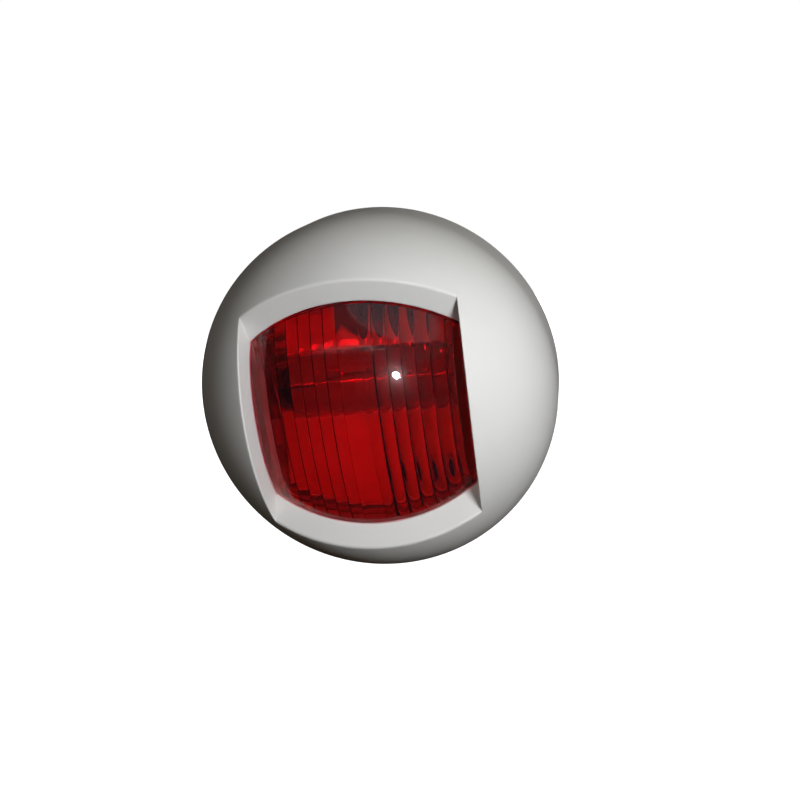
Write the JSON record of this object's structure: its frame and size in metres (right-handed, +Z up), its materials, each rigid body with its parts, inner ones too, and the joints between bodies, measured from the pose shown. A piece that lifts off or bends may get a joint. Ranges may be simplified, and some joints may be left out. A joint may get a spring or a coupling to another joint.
{
  "type": "navigation light",
  "caption": "Round surface-mount side navigation light with a domed cover, an arched window, a fluted red lens and a festoon lamp between spring contacts.",
  "frame": {"origin": "centre of the mounting gasket's back face, which rests on the wall", "axes": "+Z up, the light faces -Y, +Y points into the wall"},
  "size_m": [0.06, 0.027, 0.06],
  "materials": {
    "cover": "satin white moulded plastic",
    "base": "satin white moulded plastic",
    "lens": "clear red acrylic, polished",
    "rubber": "matte black",
    "brass": "satin",
    "glass": "clear",
    "nickel": "nickel plated",
    "steel": "stainless",
    "tungsten": "dull grey wire"
  },
  "bodies": {
    "base": {"mounting_gasket": "rubber", "base_plate": "base", "cover_seal": "rubber", "cable_grommet": "rubber", "contact_foot_left": "brass", "contact_foot_right": "brass", "terminal_plate_left": "brass", "terminal_plate_right": "brass", "terminal_screw_left": "brass", "terminal_screw_right": "brass"},
    "cover": {"housing_cover": "cover", "lens": "lens", "lens_gasket": "rubber", "lens_retainer": "cover", "retainer_screw_1": "steel", "retainer_screw_2": "steel", "retainer_screw_3": "steel", "retainer_screw_4": "steel", "lock_insert": "brass"},
    "lock_travel": {"lock_washer": "rubber"},
    "lock_screw": {"lock_screw": "steel"},
    "contact_left": {"contact_blade_left": "brass"},
    "contact_right": {"contact_blade_right": "brass"},
    "lamp": {"lamp_glass": "glass", "lamp_cap_left": "nickel", "lamp_cap_right": "nickel", "lamp_filament": "tungsten"}
  },
  "joints": [
    {"name": "cover_pull", "type": "slide", "parent": "base", "child": "cover", "axis": [0, -1, 0], "range_m": [0, 0.04]},
    {"name": "lock_screw_travel", "type": "slide", "parent": "cover", "child": "lock_travel", "axis": [0, 0, -1], "range_m": [0, 0.002]},
    {"name": "lock_screw_turn", "type": "hinge", "parent": "lock_travel", "child": "lock_screw", "pos_m": [0, -0.007, -0.027], "axis": [0, 0, -1], "range_deg": [0, 1440]},
    {"name": "contact_left_flex", "type": "hinge", "parent": "base", "child": "contact_left", "pos_m": [-0.02215, -0.00525, 0.00245], "axis": [0, 0, -1], "range_deg": [0, 8], "stiffness_Nm_per_rad": 0.06},
    {"name": "contact_right_flex", "type": "hinge", "parent": "base", "child": "contact_right", "pos_m": [0.02215, -0.00525, 0.00245], "axis": [0, 0, 1], "range_deg": [0, 8], "stiffness_Nm_per_rad": 0.06},
    {"name": "lamp_turn", "type": "hinge", "parent": "base", "child": "lamp", "pos_m": [0, -0.0103, 0.00245], "axis": [1, 0, 0], "range_deg": [-180, 180]}
  ],
  "couplings": [
    {"joint": "lock_screw_turn", "follows": "lock_screw_travel", "rad_per_m": 12566}
  ]
}
